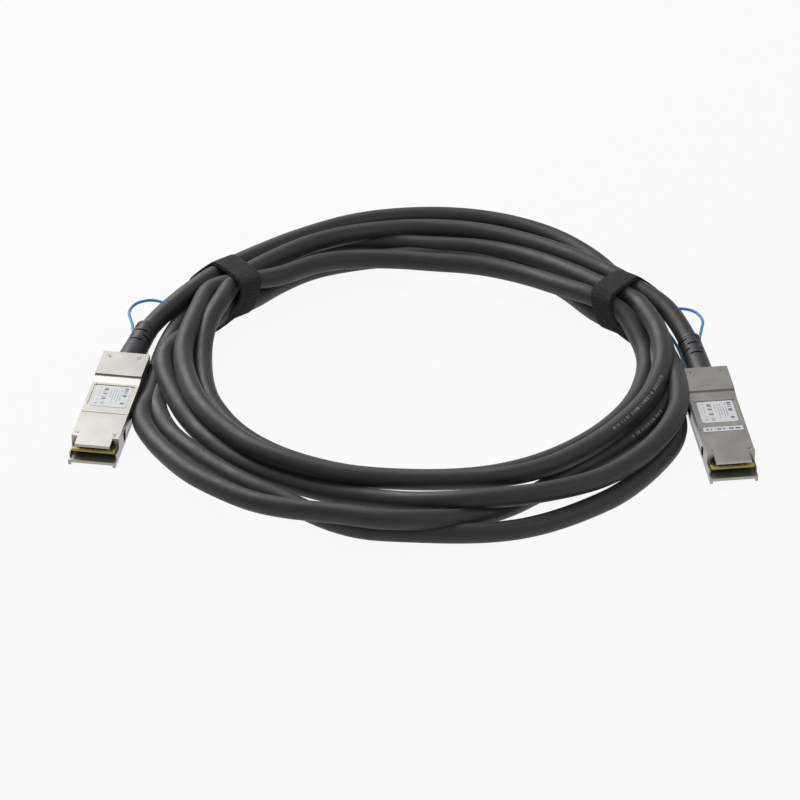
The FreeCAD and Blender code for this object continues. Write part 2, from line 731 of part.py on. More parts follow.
def closed_face(points):
    """A flat face inside a smooth closed curve through hand-placed points."""
    curve = Part.BSplineCurve()
    curve.interpolate([Vec(x, y, 0) for x, y in points], PeriodicFlag=True)
    return Part.Face(Part.Wire(curve.toShape()))


def make_coil(bands):
    """The outer shape of the lying turns: a rounded ring, cut back under the straps."""
    ring = closed_face(coil_outer).cut(closed_face(coil_inner))
    slab = ring.extrude(Vec(0, 0, coil_height))
    rims = [e for e in slab.Edges if e.BoundBox.ZLength < fit_gap]
    slab = slab.makeFillet(coil_round, rims)
    return slab.cut(bands)


def build_plug(side, nose, yaw, run, lean, reach, has_strip):
    """Every node of one plug with its run of cable, at its place on the table."""
    cable, aim = uncoiled_run(nose, yaw, run)
    share = (head_back + relief_length - relief_bend) / aim.y
    pieces = {
        "top_cover": make_top_cover(),
        "bottom_shell": make_bottom_shell(),
        "cover_rivets": make_rivets(),
        "paddle_card": make_card(),
        "gold_contacts": make_contacts(),
        "card_components": make_components(),
        "wire_pairs": make_wire_pairs(),
        "crimp_ferrule": make_ferrule(cable),
        "strain_relief": make_strain_relief(aim.x * share, aim.z * share, cable),
        "latch_slider": make_slider(),
        "return_springs": make_springs(),
        "pull_loop": make_pull_loop(lean, reach),
        "lead": cable,
    }
    middle = nose_to_head - pocket_from_head - pocket_length / 2
    label_foot = body_top - pocket_depth
    pieces["label"] = rounded_plate(label_side, label_length, label_thickness, label_corner,
                                    Vec(0, middle, label_foot))
    if has_strip:
        strip_y = middle - (label_length + strip_length) / 2 - strip_gap
        pieces["strip_label"] = rounded_plate(strip_side, strip_length, label_thickness,
                                              press_line_width, Vec(0, strip_y, body_top))
    return {side + "_" + name: placed(shape, nose, yaw) for name, shape in pieces.items()}


nodes = build_plug("left", left_nose, left_yaw, left_run, -loop_lean, 0, False)
nodes.update(build_plug("right", right_nose, right_yaw, right_run, loop_lean, right_loop_reach, True))
rigid = [shape for name, shape in nodes.items() if not name.endswith("_lead")]
middle_box = Part.makeCompound(rigid).optimalBoundingBox(False, False)
table_shift = Vec(-middle_box.Center.x, -middle_box.Center.y, -middle_box.ZMin)
print("plugs' box", middle_box, "shift", table_shift)

nodes["left_strap"] = make_strap(left_strap_place, left_strap_heading, strap_tilt, -1)
nodes["right_strap"] = make_strap(right_strap_place, right_strap_heading, -strap_tilt, 1)
bands = [nodes["left_strap"], nodes["right_strap"]]
nodes["cable_coil"] = make_coil(bands)
for side in ("left", "right"):
    lead = nodes[side + "_lead"]
    nodes[side + "_lead"] = lead.cut([nodes["cable_coil"]] + bands)
for name, shape in nodes.items():
    shape.translate(table_shift)
    save(shape, name)
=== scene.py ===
import math

import bpy
import numpy as np
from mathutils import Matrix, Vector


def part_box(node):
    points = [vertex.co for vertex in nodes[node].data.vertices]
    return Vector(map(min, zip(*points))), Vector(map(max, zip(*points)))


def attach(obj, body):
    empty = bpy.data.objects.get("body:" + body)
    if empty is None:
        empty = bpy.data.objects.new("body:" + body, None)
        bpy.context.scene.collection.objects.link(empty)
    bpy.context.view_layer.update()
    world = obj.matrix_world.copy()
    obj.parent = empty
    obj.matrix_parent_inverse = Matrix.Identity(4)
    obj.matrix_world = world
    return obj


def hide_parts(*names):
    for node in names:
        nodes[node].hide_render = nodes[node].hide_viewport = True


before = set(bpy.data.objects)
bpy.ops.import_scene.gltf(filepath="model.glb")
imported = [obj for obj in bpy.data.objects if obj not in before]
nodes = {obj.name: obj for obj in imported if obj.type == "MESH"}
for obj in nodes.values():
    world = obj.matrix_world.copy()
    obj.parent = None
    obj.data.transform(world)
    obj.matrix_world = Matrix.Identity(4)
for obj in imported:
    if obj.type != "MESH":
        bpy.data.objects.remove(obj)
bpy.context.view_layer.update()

# ---- cable -------------------------------------------------------------------------
# Twinaxial copper cable in a soft black jacket, 7.8 mm thick. It leaves the left plug,
# goes round in five and a half lying turns and comes back out to the right plug.
# The jacket is extruded and a little matt, with a line of pale printed strokes.


def new_material(name, color, roughness, metallic=0.0):
    """A material with one surface shader; returns it with its nodes, links and shader."""
    mat = bpy.data.materials.new(name)
    mat.use_nodes = True
    tree = mat.node_tree
    surface = tree.nodes["Principled BSDF"]
    surface.inputs["Base Color"].default_value = (*color, 1.0)
    surface.inputs["Roughness"].default_value = roughness
    surface.inputs["Metallic"].default_value = metallic
    return mat, tree.nodes, tree.links, surface


def noise(nodes_of, links_of, coordinate, scale, detail=2.0):
    """Soft three-dimensional noise on the given coordinate; returns its value socket."""
    texture = nodes_of.new("ShaderNodeTexNoise")
    texture.inputs["Scale"].default_value = scale
    texture.inputs["Detail"].default_value = detail
    links_of.new(coordinate, texture.inputs["Vector"])
    return texture.outputs["Fac"]


def spread(nodes_of, links_of, value, low, high, start=0.3, end=0.7):
    """Maps a value from the range start..end to the range low..high, straight between."""
    step = nodes_of.new("ShaderNodeMapRange")
    step.inputs["From Min"].default_value = start
    step.inputs["From Max"].default_value = end
    step.inputs["To Min"].default_value = low
    step.inputs["To Max"].default_value = high
    links_of.new(value, step.inputs["Value"])
    return step.outputs["Result"]


def tint(nodes_of, links_of, factor, dark, light):
    """Mixes two colours by a factor; returns the colour socket."""
    mix = nodes_of.new("ShaderNodeMix")
    mix.data_type = "RGBA"
    mix.inputs["A"].default_value = (*dark, 1.0)
    mix.inputs["B"].default_value = (*light, 1.0)
    links_of.new(factor, mix.inputs["Factor"])
    return mix.outputs["Result"]


def overlay(nodes_of, links_of, factor, below, above):
    """Lays one plain colour over a colour socket by a factor; returns the colour socket."""
    mix = nodes_of.new("ShaderNodeMix")
    mix.data_type = "RGBA"
    mix.inputs["B"].default_value = (*above, 1.0)
    links_of.new(factor, mix.inputs["Factor"])
    links_of.new(below, mix.inputs["A"])
    return mix.outputs["Result"]


def split(nodes_of, links_of, vector):
    """Takes a vector socket apart; returns its outputs, named X, Y and Z."""
    parts = nodes_of.new("ShaderNodeSeparateXYZ")
    links_of.new(vector, parts.inputs["Vector"])
    return parts.outputs


def grain(nodes_of, links_of, surface, height, depth):
    """Raises the surface by height times depth, as small relief under the finish."""
    bump = nodes_of.new("ShaderNodeBump")
    bump.inputs["Strength"].default_value = 1.0
    bump.inputs["Distance"].default_value = depth
    links_of.new(height, bump.inputs["Height"])
    links_of.new(bump.outputs["Normal"], surface.inputs["Normal"])


def calc(nodes_of, links_of, operation, *values):
    """One step of arithmetic on sockets or plain numbers; returns its value socket."""
    step = nodes_of.new("ShaderNodeMath")
    step.operation = operation
    for place, value in enumerate(values):
        if isinstance(value, (int, float)):
            step.inputs[place].default_value = value
        else:
            links_of.new(value, step.inputs[place])
    return step.outputs["Value"]


def strokes(nodes_of, links_of, run, length, bare):
    """Strokes along a run: each has a number, the run divided by the stroke's length and
    rounded down, and is inked where the random value of its number is above bare."""
    cell = nodes_of.new("ShaderNodeTexWhiteNoise")
    cell.noise_dimensions = "1D"
    number = calc(nodes_of, links_of, "FLOOR", calc(nodes_of, links_of, "DIVIDE", run, length))
    links_of.new(number, cell.inputs["W"])
    return calc(nodes_of, links_of, "GREATER_THAN", cell.outputs["Value"], bare)


cable_diameter = 0.0078
route = np.array([
    # from inside the left plug to its strap
    (-112.8, 0.9, 5.5), (-111.0, 12.2, 5.5), (-104.6, 34.2, 7.1), (-92.6, 50.2, 10.9),
    (-77.8, 67.5, 13.1),
    # back, outer and high to outer and low
    (-62.0, 81.6, 13.0), (-45.0, 96.0, 12.4), (-20.5, 111.7, 11.3), (8.5, 117.9, 10.0),
    (34.0, 114.9, 9.5), (57.0, 103.7, 9.0), (73.0, 86.9, 8.5), (82.5, 72.4, 7.0),
    (84.9, 59.3, 5.4), (93.5, 52.6, 5.4),
    # front, the outermost turn
    (97.5, 38.4, 4.8), (100.4, 21.4, 4.3), (100.8, 1.4, 4.1), (101.4, -15.6, 4.1),
    (102.3, -37.0, 4.0), (94.5, -55.1, 4.0), (79.8, -76.0, 4.0), (65.5, -87.4, 4.0),
    (51.3, -96.2, 4.0), (37.3, -101.6, 4.0), (20.1, -103.7, 4.0), (-4.6, -102.4, 4.0),
    (-17.6, -101.1, 4.0), (-28.7, -96.4, 4.0), (-39.2, -89.6, 4.6), (-49.4, -82.0, 5.5),
    (-60.5, -75.4, 6.0), (-74.7, -61.3, 5.5), (-85.1, -48.3, 5.0), (-92.8, -36.6, 4.5),
    (-97.2, -24.4, 4.0), (-99.5, -11.3, 4.0), (-93.4, 3.4, 4.0), (-91.4, 18.4, 4.2),
    (-87.2, 35.4, 4.6),
    # back, low in the middle
    (-78.5, 57.1, 5.4), (-67.5, 65.7, 5.4), (-51.4, 90.0, 4.2), (-36.5, 103.0, 4.0),
    (-19.0, 110.9, 4.0), (-0.5, 115.8, 4.0), (16.0, 113.4, 4.0), (36.4, 105.4, 4.0),
    (54.5, 93.5, 4.0), (78.5, 54.4, 5.4), (89.5, 45.8, 5.4),
    # front, third turn
    (96.2, 29.9, 5.5), (100.4, 14.4, 7.4), (102.7, -1.2, 9.0), (103.3, -17.0, 10.4),
    (102.1, -29.5, 11.2), (99.0, -39.7, 11.5), (94.5, -49.3, 11.0), (85.8, -63.3, 11.0),
    (72.7, -76.7, 11.3), (60.6, -83.7, 11.8), (47.4, -88.5, 12.0), (34.4, -91.3, 12.0),
    (21.4, -92.3, 11.4), (6.5, -90.6, 9.4), (-4.6, -86.8, 7.0), (-17.7, -81.7, 5.2),
    (-30.8, -77.8, 4.5), (-46.0, -70.6, 4.6), (-59.3, -62.7, 5.0), (-69.9, -53.6, 5.5),
    (-79.0, -41.7, 6.0), (-83.3, -34.3, 6.0), (-88.1, -25.6, 7.0), (-93.1, -12.0, 8.0),
    (-96.3, -2.2, 9.5), (-97.3, 9.7, 10.5), (-92.0, 21.4, 9.5), (-83.5, 35.9, 7.0),
    # back, low inside
    (-73.7, 50.9, 5.4), (-62.7, 59.6, 5.4), (-55.0, 71.7, 4.0), (-41.1, 84.1, 4.0),
    (-24.9, 90.3, 4.0), (-6.6, 94.3, 4.0), (11.7, 95.8, 4.0), (32.0, 91.1, 4.0),
    (50.1, 81.0, 4.0), (61.9, 69.3, 4.5), (73.7, 48.3, 5.4), (84.7, 39.6, 5.4),
    # front, under the third turn, then out over the outermost
    (92.5, 31.4, 4.8), (95.4, 15.4, 4.5), (97.6, -0.6, 5.0), (99.8, -13.0, 6.0),
    (95.3, -24.3, 6.0), (90.3, -34.8, 6.0), (81.8, -45.1, 5.5), (71.1, -55.7, 5.0),
    (61.5, -62.6, 4.2), (52.5, -71.1, 4.0), (44.1, -79.4, 4.0), (35.3, -87.0, 4.2),
    (26.2, -93.1, 5.2), (16.5, -98.6, 7.0), (8.0, -102.1, 9.2), (-2.8, -104.5, 10.8),
    (-13.8, -104.7, 11.4), (-23.1, -102.1, 11.4), (-32.2, -99.7, 11.0), (-46.1, -96.7, 10.5),
    (-60.0, -91.3, 10.0), (-74.1, -80.2, 9.5), (-84.8, -69.6, 9.0), (-95.4, -52.7, 8.0),
    (-101.2, -38.6, 6.0), (-104.8, -25.6, 5.0), (-101.6, -12.6, 4.2), (-99.8, 3.4, 4.2),
    (-98.0, 19.4, 4.4), (-93.4, 38.4, 4.8),
    # back, from low outside up to the middle
    (-83.3, 63.2, 5.4), (-72.3, 71.9, 5.4), (-60.4, 78.4, 6.5), (-44.1, 95.6, 7.0),
    (-25.0, 102.4, 6.0), (-6.6, 101.6, 6.5), (8.5, 98.0, 7.0), (28.0, 96.0, 7.5),
    (48.1, 86.0, 9.0), (65.7, 69.0, 11.5), (78.5, 54.4, 13.1), (89.5, 45.8, 13.1),
    # front, second turn, on top
    (93.1, 36.5, 13.0), (96.5, 26.4, 12.8), (98.1, 14.4, 12.5), (98.0, 3.5, 12.0),
    (95.8, -7.2, 11.5), (91.8, -20.9, 11.5), (85.1, -33.6, 11.5), (76.4, -46.3, 11.5),
    (67.9, -56.2, 11.5), (57.4, -65.7, 11.5), (47.9, -72.0, 11.5), (34.7, -77.2, 11.5),
    (21.6, -77.3, 10.5), (8.5, -77.3, 10.0), (-4.6, -76.2, 9.5), (-17.7, -75.4, 10.0),
    (-30.8, -73.0, 10.5), (-45.9, -67.1, 11.5), (-59.3, -59.0, 12.0), (-67.8, -49.4, 12.0),
    (-76.3, -37.7, 12.0), (-82.9, -24.4, 12.0), (-87.1, -9.0, 12.0), (-89.2, 3.5, 12.0),
    (-89.3, 14.7, 12.3), (-87.4, 25.7, 12.8), (-84.2, 40.6, 12.8), (-80.6, 56.5, 13.1),
    # back, inside and high
    (-64.7, 60.5, 13.1), (-51.5, 65.5, 12.5), (-40.1, 77.2, 11.0), (-24.9, 84.4, 9.0),
    (-6.6, 85.2, 8.5), (8.4, 82.9, 8.5), (27.8, 80.6, 8.5), (46.9, 70.8, 9.5), (60.2, 58.7, 11.5),
    (73.7, 48.3, 13.1), (84.7, 39.6, 11.2),
    # front, innermost turn
    (89.7, 27.5, 7.0), (92.0, 19.2, 4.8), (91.9, 9.5, 4.0), (90.3, 0.1, 4.0), (87.0, -12.0, 4.0),
    (81.0, -24.1, 4.0), (72.3, -36.3, 4.0), (61.2, -47.7, 4.0), (49.2, -56.6, 4.0),
    (36.9, -62.7, 4.0), (25.6, -66.0, 4.0), (14.2, -67.4, 4.0), (2.9, -67.7, 4.0),
    (-12.1, -66.7, 4.0), (-27.2, -64.0, 4.0), (-46.3, -55.2, 4.0), (-59.9, -44.2, 4.0),
    (-68.6, -33.2, 4.0), (-73.5, -24.8, 4.5), (-78.0, -15.5, 5.3), (-80.8, -3.7, 6.0),
    (-82.0, 9.9, 7.0), (-81.9, 24.0, 9.2), (-79.9, 35.2, 11.5), (-75.3, 46.0, 13.2),
    # back, high in the middle, to the right strap
    (-71.6, 59.6, 13.1), (-66.1, 67.2, 13.1), (-51.9, 80.8, 13.3), (-40.3, 91.2, 12.5),
    (-25.0, 100.0, 11.5), (-6.6, 105.6, 10.5), (8.5, 106.4, 10.5), (28.1, 102.8, 11.0),
    (48.2, 92.4, 12.0), (66.0, 79.3, 12.8), (80.4, 66.0, 13.1),
    # from the strap into the right plug
    (88.8, 56.2, 13.1), (101.2, 44.2, 11.6), (108.8, 25.7, 8.2), (113.2, 1.6, 5.5),
    (114.6, -9.7, 5.5),
]) / 1000.0
curve = bpy.data.curves.new("cable", "CURVE")
curve.dimensions = "3D"
spline = curve.splines.new("NURBS")
spline.points.add(len(route) - 1)
spline.points.foreach_set("co", np.column_stack([route, np.ones(len(route))]).ravel())
spline.order_u = 3
spline.use_endpoint_u = True
spline.resolution_u = 6
curve.bevel_depth = cable_diameter / 2
curve.bevel_resolution = 6
curve.use_fill_caps = True
cable = bpy.data.objects.new("cable", curve)
bpy.context.scene.collection.objects.link(cable)

cable_length = 3.35
print_side = 0.095        # place of the print, as a share of the way round the jacket
print_height = 0.024      # half its height, as the same share
print_stroke = 0.00045
print_bare = 0.45         # share of the strokes left bare
print_cover = 0.75        # how fully the ink covers
printed = ((2.194, 0.024), (1.518, 0.013))    # middle and half length, from the left end
jacket, n, l, shader = new_material("cable_jacket", (0.020, 0.021, 0.023), 0.52)
place = n.new("ShaderNodeTexCoord")
along = split(n, l, place.outputs["UV"])
metres = calc(n, l, "MULTIPLY", along["X"], cable_length)
cloud = noise(n, l, place.outputs["Object"], 160.0, 3.0)
fine = noise(n, l, place.outputs["Object"], 2600.0, 2.0)
base = tint(n, l, spread(n, l, cloud, 0.0, 1.0),
            (0.0155, 0.0158, 0.0182), (0.0235, 0.024, 0.0278))
within = calc(n, l, "COMPARE", metres, *printed[0])
within = calc(n, l, "MAXIMUM", within, calc(n, l, "COMPARE", metres, *printed[1]))
band = calc(n, l, "COMPARE", along["Y"], print_side, print_height)
stroke = strokes(n, l, metres, print_stroke, print_bare)
mark = calc(n, l, "MULTIPLY", calc(n, l, "MULTIPLY", within, band), stroke)
inked = overlay(n, l, calc(n, l, "MULTIPLY", mark, print_cover), base, (0.32, 0.32, 0.33))
l.new(inked, shader.inputs["Base Color"])
l.new(spread(n, l, cloud, 0.46, 0.60), shader.inputs["Roughness"])
grain(n, l, shader, fine, 0.00004)
shader.inputs["Sheen Weight"].default_value = 0.12
shader.inputs["Sheen Roughness"].default_value = 0.45
curve.materials.append(jacket)
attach(cable, "cable_and_plugs")
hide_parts("cable_coil", "left_lead", "right_lead")


# ---- die-cast shells and rivets of the plugs ---------------------------------------
# Each plug has a cast zinc bottom shell and a pressed cover, both nickel plated and
# satin, with painted shade on the low inner floor. Small countersunk rivets in shallow recesses
# hold them together.


def dress(material, names):
    """Gives the named solids this one finish."""
    for name in names:
        mesh = nodes[name].data
        mesh.materials.clear()
        mesh.materials.append(material)


sides = ("left_", "right_")


def both(*pieces):
    """The full names of the given pieces on both plugs."""
    return [side + piece for side in sides for piece in pieces]


def mottled(name, color, roughness, metallic, scale, detail, dark, light, rough, names,
            bold=True):
    """A finish that varies by one soft noise, from dark to light and over the rough range,
    for the named solids. A bold one stretches the noise to its full contrast."""
    mat, n, l, shader = new_material(name, color, roughness, metallic)
    place = n.new("ShaderNodeTexCoord")
    speck = noise(n, l, place.outputs["Object"], scale, detail)
    factor = spread(n, l, speck, 0.0, 1.0) if bold else speck
    l.new(tint(n, l, factor, dark, light), shader.inputs["Base Color"])
    l.new(spread(n, l, speck, *rough), shader.inputs["Roughness"])
    dress(mat, names)
    return n, l, shader, place


floor_height = 0.0032     # the inner floor lies below this height
facing_up = 0.5           # least upward part of a floor's normal
nickel, n, l, shader = new_material("nickel_shell", (0.40, 0.39, 0.365), 0.34, 0.85)
place = n.new("ShaderNodeTexCoord")
cloud = noise(n, l, place.outputs["Object"], 90.0, 3.0)
fine = noise(n, l, place.outputs["Object"], 3000.0, 3.0)
plated = tint(n, l, spread(n, l, cloud, 0.0, 1.0),
              (0.365, 0.353, 0.325), (0.425, 0.412, 0.382))
height = split(n, l, place.outputs["Object"])
face = n.new("ShaderNodeNewGeometry")
upright = split(n, l, face.outputs["Normal"])
# Painted shade: upward faces below floor_height (the shell's inner floor at the nose) get a dark
# brown-grey that stands in for the shade and dark reflection there.
painted_shade_floor = calc(n, l, "MULTIPLY", calc(n, l, "LESS_THAN", height["Z"], floor_height),
                   calc(n, l, "GREATER_THAN", upright["Z"], facing_up))
l.new(overlay(n, l, painted_shade_floor, plated, (0.10, 0.092, 0.08)), shader.inputs["Base Color"])
l.new(spread(n, l, cloud, 0.30, 0.40), shader.inputs["Roughness"])
grain(n, l, shader, fine, 0.000006)
dress(nickel, both("top_cover", "bottom_shell"))

mottled("rivet_steel", (0.50, 0.49, 0.46), 0.30, 0.9, 1500.0, 2.0,
        (0.36, 0.35, 0.32), (0.60, 0.59, 0.56), (0.24, 0.40), both("cover_rivets"))

# ---- paddle card, contacts and wires ------------------------------------------------
# The card edge in the nose is glass laminate under a green solder mask with gold pads.
# Behind it, inside the shells, small black parts and eight insulated wire pairs.
plug_turn = {"left_": math.radians(-8.93), "right_": math.radians(7.05)}
bare_edge = 0.0022        # the mask stops this far from the card's front edge
flat_limit = 0.6          # least vertical part of the normal of a card's flat side
for side, turned in plug_turn.items():
    laminate, n, l, shader = new_material(side + "card_laminate", (0.55, 0.45, 0.10), 0.45)
    mesh = nodes[side + "paddle_card"].data
    points = np.empty(len(mesh.vertices) * 3, dtype=np.float32)
    mesh.vertices.foreach_get("co", points)
    points = points.reshape(-1, 3)
    forward = np.array([math.sin(turned), -math.cos(turned)])
    front_edge = float((points[:, :2] @ forward).max())
    place = n.new("ShaderNodeTexCoord")
    face = n.new("ShaderNodeNewGeometry")
    upright = split(n, l, face.outputs["Normal"])
    flat_side = calc(n, l, "GREATER_THAN", calc(n, l, "ABSOLUTE", upright["Z"]), flat_limit)
    where = n.new("ShaderNodeVectorMath")
    where.operation = "DOT_PRODUCT"
    where.inputs[1].default_value = (float(forward[0]), float(forward[1]), 0.0)
    l.new(place.outputs["Object"], where.inputs[0])
    behind = calc(n, l, "LESS_THAN", where.outputs["Value"], front_edge - bare_edge)
    layer = noise(n, l, place.outputs["Object"], 900.0, 2.0)
    edge = tint(n, l, spread(n, l, layer, 0.0, 1.0), (0.55, 0.46, 0.09), (0.75, 0.65, 0.20))
    masked = overlay(n, l, calc(n, l, "MULTIPLY", flat_side, behind), edge, (0.012, 0.085, 0.045))
    l.new(masked, shader.inputs["Base Color"])
    l.new(spread(n, l, layer, 0.34, 0.50), shader.inputs["Roughness"])
    dress(laminate, [side + "paddle_card"])

mottled("contact_gold", (0.83, 0.60, 0.20), 0.28, 1.0, 1800.0, 2.0,
        (0.70, 0.48, 0.14), (0.90, 0.70, 0.28), (0.20, 0.36), both("gold_contacts"))
mottled("component_black", (0.02, 0.02, 0.02), 0.5, 0.0, 2500.0, 2.0,
        (0.012, 0.012, 0.013), (0.035, 0.034, 0.034), (0.40, 0.60), both("card_components"),
        bold=False)
mottled("pair_insulation", (0.62, 0.62, 0.60), 0.4, 0.0, 700.0, 2.0,
        (0.50, 0.50, 0.48), (0.70, 0.70, 0.68), (0.32, 0.48), both("wire_pairs"), bold=False)
mottled("ferrule_brass", (0.62, 0.47, 0.22), 0.35, 1.0, 900.0, 3.0,
        (0.45, 0.33, 0.14), (0.72, 0.57, 0.30), (0.28, 0.46), both("crimp_ferrule"), bold=False)

# ---- strain reliefs -------------------------------------------------------------------
# Moulded rubber sleeves on the cable behind each plug, with rings of slots so that
# they bend evenly. Their skin is matt with a fine moulded grain.
n, l, shader, place = mottled("relief_rubber", (0.030, 0.031, 0.035), 0.5, 0.0, 220.0, 3.0,
                              (0.022, 0.023, 0.027), (0.036, 0.037, 0.042), (0.42, 0.56),
                              both("strain_relief"))
grain(n, l, shader, noise(n, l, place.outputs["Object"], 3200.0, 2.0), 0.00005)

# ---- latch sliders, springs and pull loops -----------------------------------------------
# A bent strip of spring steel slides along each plug and frees it from its cage. A blue
# plastic-coated wire loop with moulded grips pulls the slider.
mottled("latch_steel", (0.42, 0.42, 0.41), 0.32, 1.0, 1200.0, 3.0,
        (0.34, 0.34, 0.33), (0.50, 0.50, 0.49), (0.26, 0.40),
        both("latch_slider", "return_springs"))
mottled("loop_blue", (0.05, 0.30, 0.62), 0.38, 0.0, 500.0, 2.0,
        (0.040, 0.27, 0.58), (0.065, 0.35, 0.70), (0.32, 0.44), both("pull_loop"))

# ---- labels ---------------------------------------------------------------------------
# White paper labels with rounded corners in a shallow pocket of each cover, printed
# with plain grey and blue strokes. The right plug has a second, narrow strip.


label_bare = 0.38         # share of a bar's strokes left bare
bar_start = 50.0          # keeps the run of strokes above zero, in millimetres
bar_shift = 3.7           # moves the strokes of one bar against the next


def printed_label(name, solid, turn, bars):
    """White paper with rows of short strokes. Each bar is (across, along, half width,
    half length, stroke length, ink) on the label, in millimetres from its middle, and
    a point is inked where it lies in a bar and in one of the bar's strokes."""
    low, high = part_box(solid)
    middle = (low + high) / 2
    mat, n, l, shader = new_material(name, (0.80, 0.82, 0.83), 0.45)
    place = n.new("ShaderNodeTexCoord")
    fibre = noise(n, l, place.outputs["Object"], 1400.0, 3.0)
    own = n.new("ShaderNodeMapping")
    own.inputs["Scale"].default_value = (1000.0, 1000.0, 1000.0)
    own.inputs["Rotation"].default_value = (0.0, 0.0, turn)
    own.inputs["Location"].default_value = (
        -1000.0 * (middle.x * math.cos(turn) - middle.y * math.sin(turn)),
        -1000.0 * (middle.x * math.sin(turn) + middle.y * math.cos(turn)), 0.0)
    l.new(place.outputs["Object"], own.inputs["Vector"])
    axes = split(n, l, own.outputs["Vector"])
    surface = tint(n, l, fibre, (0.74, 0.76, 0.77), (0.82, 0.835, 0.84))
    for across, along, half_width, half_length, stroke, ink in bars:
        inside = calc(n, l, "MULTIPLY", calc(n, l, "COMPARE", axes["X"], across, half_width),
                      calc(n, l, "COMPARE", axes["Y"], along, half_length))
        run = calc(n, l, "ADD", axes["Y"] if half_length > half_width else axes["X"],
                   bar_start + bar_shift * across)
        inked = calc(n, l, "MULTIPLY", inside, strokes(n, l, run, stroke, label_bare))
        surface = overlay(n, l, inked, surface, ink)
    l.new(surface, shader.inputs["Base Color"])
    l.new(spread(n, l, fibre, 0.40, 0.52), shader.inputs["Roughness"])
    dress(mat, [solid])


grey_ink = (0.16, 0.17, 0.19)
pale_ink = (0.42, 0.44, 0.47)
blue_ink = (0.36, 0.50, 0.62)
label_bars = (
    (5.2, 0.6, 0.75, 5.6, 0.55, grey_ink), (3.6, 1.4, 0.28, 4.6, 0.30, blue_ink),
    (2.6, 1.0, 0.20, 5.2, 0.25, pale_ink), (1.6, 1.6, 0.20, 4.0, 0.25, pale_ink),
    (0.6, 0.6, 0.20, 5.4, 0.25, pale_ink), (-0.5, 1.8, 0.20, 3.6, 0.25, pale_ink),
    (-2.6, 4.6, 0.85, 1.0, 0.22, grey_ink), (-2.6, 1.7, 0.85, 1.1, 0.22, grey_ink),
    (-2.6, -1.3, 0.85, 1.0, 0.22, grey_ink), (-2.4, -5.2, 0.75, 0.9, 0.45, pale_ink),
    (-4.8, 1.0, 0.20, 5.0, 0.25, pale_ink), (-5.0, -5.4, 0.55, 0.8, 0.45, pale_ink),
)
strip_bar = ((0.0, 0.0, 6.6, 0.55, 0.32, grey_ink),)
printed_label("label_white", "left_label", -plug_turn["left_"], label_bars)
printed_label("label_white_right", "right_label", -plug_turn["right_"], label_bars)
printed_label("strip_white", "right_strip_label", -plug_turn["right_"], strip_bar)

# ---- straps ---------------------------------------------------------------------------
# Two black hook-and-loop straps hold the turns together where the leads leave the coil.
# Each goes once round the bundle and over itself, and both ends stand off the cables.
weave, n, l, shader = new_material("hook_and_loop", (0.030, 0.030, 0.031), 0.85)
place = n.new("ShaderNodeTexCoord")
threads = split(n, l, place.outputs["UV"])
thread_pitch = 0.0011
turns_per_metre = 2 * math.pi / thread_pitch
warp = calc(n, l, "SINE", calc(n, l, "MULTIPLY", threads["X"], turns_per_metre))
weft = calc(n, l, "SINE", calc(n, l, "MULTIPLY", threads["Y"], turns_per_metre))
knots = calc(n, l, "MULTIPLY", warp, weft)
fuzz = noise(n, l, place.outputs["Object"], 2400.0, 3.0)
cloud = noise(n, l, place.outputs["Object"], 260.0, 2.0)
knot_share = 0.22         # share of the knots in the nap, beside the fuzz
nap = calc(n, l, "ADD", calc(n, l, "MULTIPLY", knots, knot_share), fuzz)
l.new(tint(n, l, spread(n, l, nap, 0.0, 1.0, 0.35, 0.80),
           (0.004, 0.004, 0.0045), (0.075, 0.075, 0.078)), shader.inputs["Base Color"])
l.new(spread(n, l, cloud, 0.78, 0.92), shader.inputs["Roughness"])
grain(n, l, shader, nap, 0.00022)
shader.inputs["Specular IOR Level"].default_value = 0.25
shader.inputs["Sheen Weight"].default_value = 0.06

strap_half = 5.0          # half the strap's width
strap_fabric = 0.75       # thickness of one layer
bundle_half_width = 12.1
bundle_half_height = 8.3
bundle_middle = 9.3       # height of the bundle's middle
strap_lean = math.radians(22.0)
wrap_end = 480.0          # degrees that the ribbon goes round the bundle
wrap_step = 8.0
lift_start = 330.0        # it starts to climb onto its own first layer here
lift_run = 60.0
strap_columns = 7         # points across the ribbon


